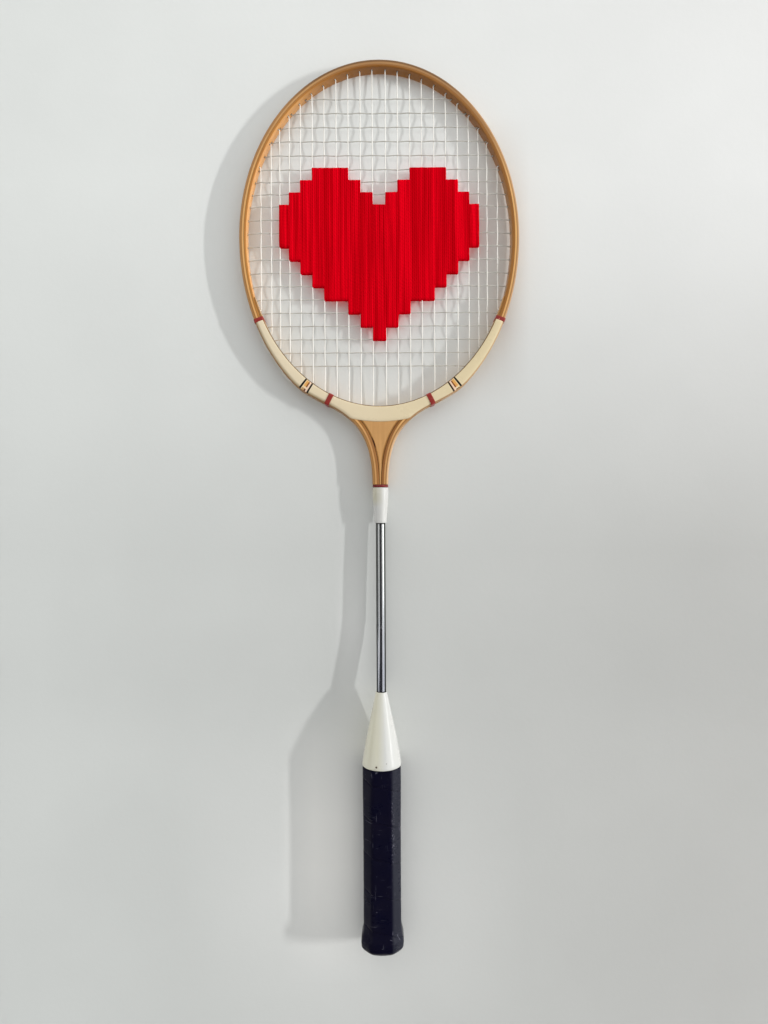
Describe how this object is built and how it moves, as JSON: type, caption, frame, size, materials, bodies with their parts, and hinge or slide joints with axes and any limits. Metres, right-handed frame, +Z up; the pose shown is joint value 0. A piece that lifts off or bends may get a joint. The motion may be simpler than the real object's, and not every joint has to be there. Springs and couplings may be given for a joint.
{
  "type": "wooden badminton racket",
  "caption": "Wooden badminton racket with a laminated head, steel shaft and wrapped grip, hung by its head, with a heart wound in red yarn on its strings.",
  "frame": {"origin": "inside of the head's top, on its centre, where the racket hangs", "axes": "+Z up along the racket from butt to head, X across the head, and the front faces -Y; the string bed lies close to the XZ plane"},
  "size_m": [0.2076, 0.0294, 0.6612],
  "materials": {
    "tan_wood": "varnished bent ash, tan, with a pale glue line",
    "brown_wood": "varnished bent beech, brown",
    "pale_wood": "varnished pale wood",
    "ash_wood": "raw turned ash",
    "cream_overlay": "satin cream",
    "red_binding": "deep red, satin",
    "string": "off-white nylon",
    "red_yarn": "bright red wool yarn",
    "bright_steel": "bright plated steel",
    "white_plastic": "aged white, glossy",
    "brad_steel": "tarnished steel",
    "black_leather": "near-black, worn to a gloss",
    "brass": "aged brass"
  },
  "bodies": {
    "root": {"outer_ply": "tan_wood", "inner_ply": "brown_wood", "throat_wedge": "pale_wood", "throat_overlay_front": "cream_overlay", "throat_overlay_back": "cream_overlay", "upper_binding_left": "red_binding", "upper_binding_right": "red_binding", "lower_binding_left": "red_binding", "lower_binding_right": "red_binding", "main_string": "string", "cross_string": "string", "heart_yarn_01": "red_yarn", "heart_yarn_02": "red_yarn", "heart_yarn_03": "red_yarn", "heart_yarn_04": "red_yarn", "heart_yarn_05": "red_yarn", "heart_yarn_06": "red_yarn", "heart_yarn_07": "red_yarn", "heart_yarn_08": "red_yarn", "heart_yarn_09": "red_yarn", "heart_yarn_10": "red_yarn", "heart_yarn_11": "red_yarn", "heart_yarn_12": "red_yarn", "heart_yarn_13": "red_yarn", "heart_yarn_14": "red_yarn", "heart_yarn_15": "red_yarn", "heart_yarn_16": "red_yarn", "heart_yarn_17": "red_yarn", "shaft_tube": "bright_steel", "neck_collar": "red_binding", "ferrule": "white_plastic", "handle_cone": "white_plastic", "cone_brad_front": "brad_steel", "cone_brad_back": "brad_steel", "handle_core": "ash_wood", "leather_grip": "black_leather", "butt_cap": "black_leather", "butt_tack": "brass"}
  },
  "joints": []
}
